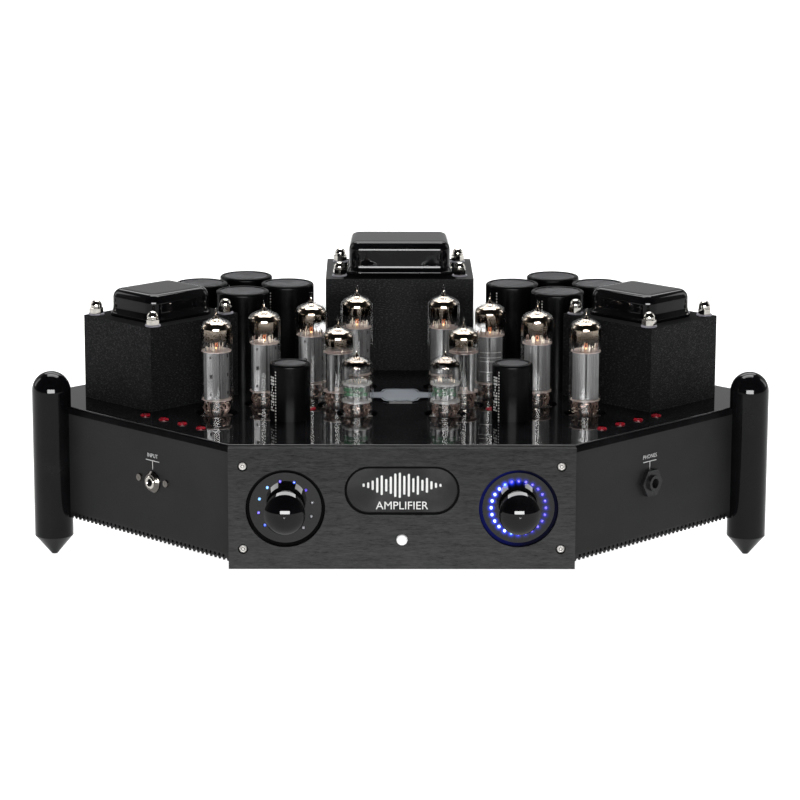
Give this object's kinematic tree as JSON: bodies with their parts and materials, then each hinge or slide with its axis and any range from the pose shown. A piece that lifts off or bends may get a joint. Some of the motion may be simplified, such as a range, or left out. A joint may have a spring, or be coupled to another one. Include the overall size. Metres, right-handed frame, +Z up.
{
  "type": "tube amplifier",
  "caption": "Stereo vacuum tube amplifier on an eight-sided chassis with four round legs, deck-mounted tubes, transformers and capacitor cans, and a thick faceplate with knobs.",
  "frame": {"origin": "on the floor under the middle of the amplifier's overall box", "axes": "+Z up, +Y to the rear, +X to the amplifier's right as seen from the front"},
  "size_m": [0.4826, 0.37, 0.187],
  "materials": {
    "deck_gloss": "high-gloss black enamel",
    "panel_satin": "satin black powder coat",
    "leg_gloss": "high-gloss black enamel on turned metal",
    "perforated_black": "matt black perforated sheet",
    "faceplate_brushed": "black anodised, brushed along its length",
    "window_inlay": "gloss black inlay with a light line motif",
    "bright_screw": "polished machine screws",
    "disc_black": "smoked gloss black disc",
    "led_blue": "blue lights",
    "knob_gloss": "mirror-gloss black",
    "shaft_steel": "turned steel",
    "component_black": "moulded black plastic",
    "button_satin": "satin silver",
    "tube_glass": "clear blown glass, silvered by its getter at the top",
    "tube_metal": "grey nickel-plated electrodes, mica spacers",
    "socket_black": "moulded socket",
    "core_crinkle": "black crinkle finish over laminations",
    "bell_gloss": "gloss black drawn steel",
    "coil_copper": "varnished copper winding",
    "nut_nickel": "nickel-plated acorn bolts",
    "can_sleeve": "black sleeve, satin",
    "jack_red": "red moulded",
    "badge_grey": "silver-grey plaque, plain",
    "trimmer_blue": "blue moulded trimmer",
    "trimmer_brass": "slotted brass screw",
    "gold": "gold-plated",
    "board_green": "green circuit board"
  },
  "bodies": {
    "chassis": {"deck_plate": "deck_gloss", "side_panel_left": "panel_satin", "side_panel_right": "panel_satin", "rear_shell": "panel_satin", "bottom_cover": "perforated_black", "front_subpanel": "panel_satin", "faceplate": "faceplate_brushed", "window_plate": "window_inlay", "front_legs": "leg_gloss", "rear_legs": "leg_gloss", "faceplate_screws": "bright_screw", "ring_discs": "disc_black", "ring_leds": "led_blue", "encoders": "component_black", "standby_switch": "component_black", "output_envelopes": "tube_glass", "driver_envelopes": "tube_glass", "input_envelopes": "tube_glass", "output_mounts": "tube_metal", "small_tube_mounts": "tube_metal", "tube_sockets": "socket_black", "output_cores": "core_crinkle", "power_core": "core_crinkle", "output_bells": "bell_gloss", "power_bell": "bell_gloss", "transformer_coils": "coil_copper", "acorn_bolts": "nut_nickel", "filter_cans": "can_sleeve", "small_cans": "can_sleeve", "test_jacks": "jack_red", "trimmer_bodies": "trimmer_blue", "deck_badge": "badge_grey", "main_board": "board_green", "board_standoffs": "shaft_steel", "input_jack": "component_black", "input_jack_screws": "nut_nickel", "phones_jack": "component_black", "phones_nut": "component_black", "phono_jacks": "gold", "speaker_posts": "gold", "power_inlet": "component_black", "power_switch": "component_black"},
    "selector": {"selector_knob": "knob_gloss", "selector_shaft": "shaft_steel"},
    "volume": {"volume_knob": "knob_gloss", "volume_shaft": "shaft_steel"},
    "standby": {"standby_button": "button_satin"},
    "rocker": {"power_rocker": "component_black"},
    "trimmer_1": {"bias_trimmer_1": "trimmer_brass"},
    "trimmer_2": {"bias_trimmer_2": "trimmer_brass"},
    "trimmer_3": {"bias_trimmer_3": "trimmer_brass"},
    "trimmer_4": {"bias_trimmer_4": "trimmer_brass"},
    "trimmer_5": {"bias_trimmer_5": "trimmer_brass"},
    "trimmer_6": {"bias_trimmer_6": "trimmer_brass"},
    "trimmer_7": {"bias_trimmer_7": "trimmer_brass"},
    "trimmer_8": {"bias_trimmer_8": "trimmer_brass"},
    "cap_1": {"speaker_cap_1": "gold"},
    "cap_2": {"speaker_cap_2": "gold"},
    "cap_3": {"speaker_cap_3": "gold"},
    "cap_4": {"speaker_cap_4": "gold"}
  },
  "joints": [
    {"name": "selector_turn", "type": "hinge", "parent": "chassis", "child": "selector", "pos_m": [-0.0724, -0.1603, 0.0609], "axis": [0, 1, 0], "range_deg": [-180, 90]},
    {"name": "volume_turn", "type": "hinge", "parent": "chassis", "child": "volume", "pos_m": [0.0724, -0.1603, 0.0609], "axis": [0, 1, 0], "continuous": true},
    {"name": "standby_press", "type": "slide", "parent": "chassis", "child": "standby", "axis": [0, 1, 0], "range_m": [0, 0.0012], "stiffness_N_per_m": 500},
    {"name": "power_rock", "type": "hinge", "parent": "chassis", "child": "rocker", "pos_m": [0, 0.158, 0.081], "axis": [1, 0, 0], "range_deg": [-20, 0]},
    {"name": "trimmer_turn_1", "type": "hinge", "parent": "chassis", "child": "trimmer_1", "pos_m": [-0.1649, -0.065, 0.09], "axis": [0, 0, 1], "range_deg": [-135, 135]},
    {"name": "trimmer_turn_2", "type": "hinge", "parent": "chassis", "child": "trimmer_2", "pos_m": [-0.1523, -0.0776, 0.09], "axis": [0, 0, 1], "range_deg": [-135, 135]},
    {"name": "trimmer_turn_3", "type": "hinge", "parent": "chassis", "child": "trimmer_3", "pos_m": [-0.1397, -0.0902, 0.09], "axis": [0, 0, 1], "range_deg": [-135, 135]},
    {"name": "trimmer_turn_4", "type": "hinge", "parent": "chassis", "child": "trimmer_4", "pos_m": [-0.1271, -0.1028, 0.09], "axis": [0, 0, 1], "range_deg": [-135, 135]},
    {"name": "trimmer_turn_5", "type": "hinge", "parent": "chassis", "child": "trimmer_5", "pos_m": [0.1649, -0.065, 0.09], "axis": [0, 0, 1], "range_deg": [-135, 135]},
    {"name": "trimmer_turn_6", "type": "hinge", "parent": "chassis", "child": "trimmer_6", "pos_m": [0.1523, -0.0776, 0.09], "axis": [0, 0, 1], "range_deg": [-135, 135]},
    {"name": "trimmer_turn_7", "type": "hinge", "parent": "chassis", "child": "trimmer_7", "pos_m": [0.1397, -0.0902, 0.09], "axis": [0, 0, 1], "range_deg": [-135, 135]},
    {"name": "trimmer_turn_8", "type": "hinge", "parent": "chassis", "child": "trimmer_8", "pos_m": [0.1271, -0.1028, 0.09], "axis": [0, 0, 1], "range_deg": [-135, 135]},
    {"name": "cap_turn_1", "type": "hinge", "parent": "chassis", "child": "cap_1", "pos_m": [-0.054, 0.176, 0.07], "axis": [0, 1, 0], "range_deg": [0, 540]},
    {"name": "cap_turn_2", "type": "hinge", "parent": "chassis", "child": "cap_2", "pos_m": [-0.032, 0.176, 0.07], "axis": [0, 1, 0], "range_deg": [0, 540]},
    {"name": "cap_turn_3", "type": "hinge", "parent": "chassis", "child": "cap_3", "pos_m": [0.032, 0.176, 0.07], "axis": [0, 1, 0], "range_deg": [0, 540]},
    {"name": "cap_turn_4", "type": "hinge", "parent": "chassis", "child": "cap_4", "pos_m": [0.054, 0.176, 0.07], "axis": [0, 1, 0], "range_deg": [0, 540]}
  ]
}
